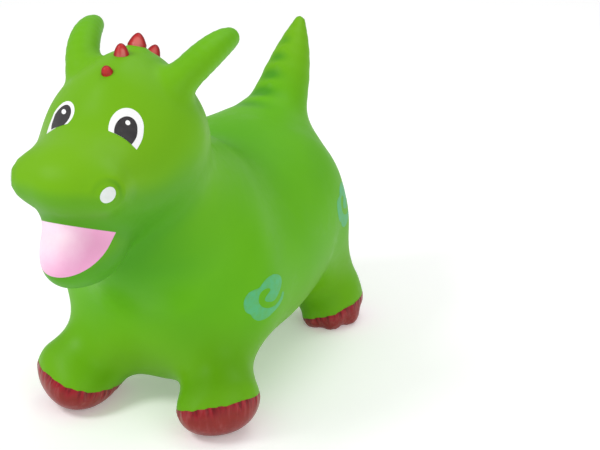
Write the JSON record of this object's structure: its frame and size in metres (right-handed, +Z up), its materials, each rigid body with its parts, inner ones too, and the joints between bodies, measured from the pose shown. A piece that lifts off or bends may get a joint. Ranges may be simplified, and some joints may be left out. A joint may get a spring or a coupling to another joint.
{
  "type": "bouncy ride-on animal",
  "caption": "Inflated hollow ride-on dragon for small children, with ears as handles, stub legs, a curled tail and a stoppered air valve in its belly.",
  "frame": {"origin": "on the floor, under the middle of the animal's bounding box", "axes": "the animal looks along -Y, its left side is +X, +Z is up"},
  "size_m": [0.2934, 0.7055, 0.4932],
  "materials": {
    "green": "satin",
    "red": "satin",
    "horn_red": "satin",
    "pink": "satin",
    "white": "satin",
    "black": "satin",
    "valve_green": "matte",
    "plug_white": "matte"
  },
  "bodies": {
    "skin": {"trunk": "green", "head": "green", "ear_left": "green", "ear_right": "green", "tail": "green", "leg_front_left": "green", "leg_front_right": "green", "leg_rear_left": "green", "leg_rear_right": "green", "foot_front_left": "red", "foot_front_right": "red", "foot_rear_left": "red", "foot_rear_right": "red", "horn_1": "horn_red", "horn_2": "horn_red", "horn_3": "horn_red", "horn_4": "horn_red", "mouth": "pink", "eye_white_left": "white", "eye_white_right": "white", "pupil_left": "black", "pupil_right": "black", "nostril_left": "white", "nostril_right": "white", "valve_collar": "valve_green"},
    "stopper": {"valve_plug": "plug_white"}
  },
  "joints": [
    {"name": "plug_pull", "type": "slide", "parent": "skin", "child": "stopper", "axis": [0, 0, -1], "range_m": [0, 0.016]}
  ]
}
